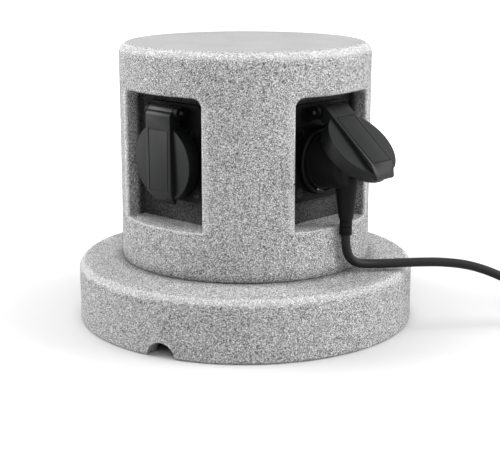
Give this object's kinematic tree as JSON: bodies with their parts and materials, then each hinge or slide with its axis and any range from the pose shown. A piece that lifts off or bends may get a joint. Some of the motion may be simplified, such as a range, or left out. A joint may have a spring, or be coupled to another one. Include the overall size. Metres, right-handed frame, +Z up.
{
  "type": "garden socket",
  "caption": "Round cast-stone garden power post on a plinth: mains sockets with sprung hinged lids in pockets round its sides, one with an angled plug and coiled lead.",
  "frame": {"origin": "centre of the plinth's underside, on the ground", "axes": "+Z up; the front socket faces -Y and the one with the plug +X; the picture's camera looks from between them"},
  "size_m": [0.3306, 0.3528, 0.185],
  "materials": {
    "column_stone": "cast stone with light and dark grit, matt",
    "plinth_stone": "cast stone with finer grit, matt",
    "housing_plastic": "black moulded plastic, satin",
    "lid_plastic": "black moulded plastic, fine matt grain",
    "carrier_plastic": "black moulded plastic",
    "seal_rubber": "black sealing rubber",
    "steel": "stainless steel",
    "screw_steel": "blackened steel",
    "plate_plastic": "dark grey moulded plastic",
    "block_plastic": "off-white moulded plastic",
    "lead_sheath": "black cable sheath",
    "brass": "turned brass",
    "plated_contact": "nickel-plated brass",
    "plug_rubber": "black moulded rubber, matt",
    "cord_sheath": "black rubber cable, matt",
    "coupler_plastic": "black moulded plastic"
  },
  "bodies": {
    "housing": {"column_foot": "column_stone", "column_crown": "column_stone", "column_posts": "column_stone", "pocket_walls": "column_stone", "plinth": "plinth_stone", "socket_housing_front": "housing_plastic", "socket_housing_right": "housing_plastic", "socket_housing_back": "housing_plastic", "socket_housing_left": "housing_plastic", "contact_carrier_front": "carrier_plastic", "contact_carrier_right": "carrier_plastic", "contact_carrier_back": "carrier_plastic", "contact_carrier_left": "carrier_plastic", "flange_seals": "seal_rubber", "closing_plate_seal": "seal_rubber", "gland_seal": "seal_rubber", "hinge_pin_front": "steel", "hinge_pin_right": "steel", "hinge_pin_back": "steel", "hinge_pin_left": "steel", "lid_spring_front": "steel", "lid_spring_right": "steel", "lid_spring_back": "steel", "lid_spring_left": "steel", "closing_plate_screws": "steel", "column_bolts": "steel", "terminal_screws": "steel", "flange_screws": "screw_steel", "closing_plate": "plate_plastic", "gland_body": "plate_plastic", "gland_lock_nut": "plate_plastic", "gland_dome_nut": "plate_plastic", "terminal_block": "block_plastic", "socket_leads": "lead_sheath", "column_inserts": "brass", "line_contacts": "brass", "earth_clips": "plated_contact"},
    "lid_front": {"lid_front": "lid_plastic", "lid_seal_front": "seal_rubber"},
    "lid_right": {"lid_right": "lid_plastic", "lid_seal_right": "seal_rubber"},
    "lid_back": {"lid_back": "lid_plastic", "lid_seal_back": "seal_rubber"},
    "lid_left": {"lid_left": "lid_plastic", "lid_seal_left": "seal_rubber"},
    "plug": {"plug_body": "plug_rubber", "plug_pins": "plated_contact", "plug_earth_contacts": "plated_contact", "plug_sleeve": "plug_rubber", "cord": "cord_sheath", "cord_coil": "cord_sheath", "cord_tail": "cord_sheath", "coupler_body": "coupler_plastic", "coupler_ring": "coupler_plastic"}
  },
  "joints": [
    {"name": "lid_front_hinge", "type": "hinge", "parent": "housing", "child": "lid_front", "pos_m": [0, -0.0725, 0.146], "axis": [-1, 0, 0], "range_deg": [0, 105], "stiffness_Nm_per_rad": 0.02, "springref_deg": -34.38},
    {"name": "lid_right_hinge", "type": "hinge", "parent": "housing", "child": "lid_right", "pos_m": [0.0725, 0, 0.146], "axis": [0, -1, 0], "range_deg": [0, 54], "stiffness_Nm_per_rad": 0.02, "springref_deg": -84.22},
    {"name": "lid_back_hinge", "type": "hinge", "parent": "housing", "child": "lid_back", "pos_m": [0, 0.0725, 0.146], "axis": [1, 0, 0], "range_deg": [0, 105], "stiffness_Nm_per_rad": 0.02, "springref_deg": -34.38},
    {"name": "lid_left_hinge", "type": "hinge", "parent": "housing", "child": "lid_left", "pos_m": [-0.0725, 0, 0.146], "axis": [0, 1, 0], "range_deg": [0, 105], "stiffness_Nm_per_rad": 0.02, "springref_deg": -34.38},
    {"name": "plug_slide", "type": "slide", "parent": "housing", "child": "plug", "axis": [1, 0, 0], "range_m": [0, 0.04]}
  ],
  "couplings": [
    {"joint": "lid_right_hinge", "follows": "plug_slide", "rad_per_m": 22.7}
  ]
}
